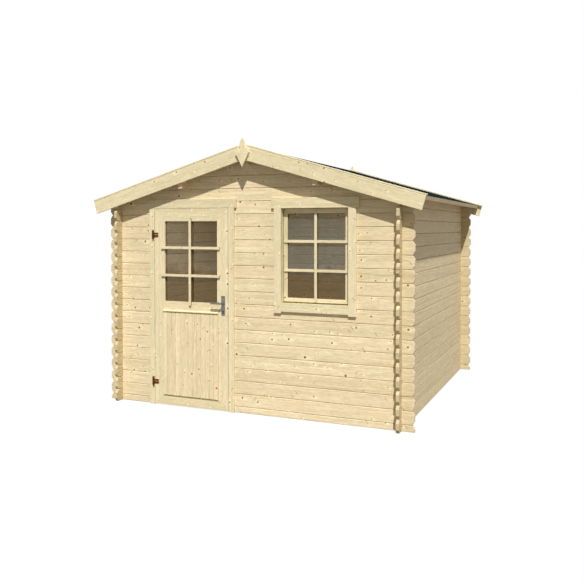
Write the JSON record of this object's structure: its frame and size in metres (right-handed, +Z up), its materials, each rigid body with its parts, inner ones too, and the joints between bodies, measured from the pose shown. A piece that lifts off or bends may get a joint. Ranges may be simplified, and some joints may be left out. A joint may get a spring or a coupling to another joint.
{
  "type": "wooden garden house",
  "caption": "Garden house of interlocked wall logs with a felted pitched roof, a half-glazed door that swings outward on two hinges and a fixed barred window.",
  "frame": {"origin": "on the ground, at the middle of the plan", "axes": "+X to the right as seen from the front, +Y from the front wall to the back wall, +Z up"},
  "size_m": [3.1994, 3.046, 2.4226],
  "materials": {
    "logs": "planed bare spruce",
    "trim": "planed bare spruce",
    "roof_boards": "planed bare spruce",
    "felt": "mineral bitumen felt",
    "glass": "clear",
    "hinge_iron": "dark brown",
    "hinge_copper": "copper brown",
    "handle_metal": "galvanised grey"
  },
  "bodies": {
    "root": {"left_wall": "logs", "right_wall": "logs", "back_wall": "logs", "front_wall_left": "logs", "front_wall_middle": "logs", "front_wall_right": "logs", "front_wall_under_window": "logs", "front_gable": "logs", "ridge_purlin": "roof_boards", "left_purlin": "roof_boards", "right_purlin": "roof_boards", "left_roof_deck": "roof_boards", "right_roof_deck": "roof_boards", "left_roof_felt": "felt", "right_roof_felt": "felt", "front_left_barge": "trim", "front_right_barge": "trim", "rear_left_barge": "trim", "rear_right_barge": "trim", "front_cover_strips": "trim", "rear_cover_strips": "trim", "front_finial": "trim", "rear_finial": "trim", "left_eaves_fascia": "trim", "right_eaves_fascia": "trim", "door_jamb_left": "trim", "door_jamb_right": "trim", "door_head": "trim", "door_lintel_board": "trim", "door_threshold": "trim", "frame_hinges": "hinge_iron", "window_jamb_left": "trim", "window_jamb_right": "trim", "window_head": "trim", "window_sill": "trim", "window_sash": "trim", "window_glass": "glass"},
    "door": {"door_leaf": "trim", "door_panel": "trim", "door_glass": "glass", "door_drip_strip": "trim", "door_hinge_straps": "hinge_copper", "handle_plates": "handle_metal"},
    "lever": {"door_lever": "handle_metal"}
  },
  "joints": [
    {"name": "door_hinge", "type": "hinge", "parent": "root", "child": "door", "pos_m": [-0.981, -1.4175, 0], "axis": [0, 0, -1], "range_deg": [0, 150]},
    {"name": "lever_turn", "type": "hinge", "parent": "door", "child": "lever", "pos_m": [-0.246, -1.389, 0.973], "axis": [0, -1, 0], "range_deg": [0, 40], "stiffness_Nm_per_rad": 1.5, "springref_deg": -28.65}
  ]
}
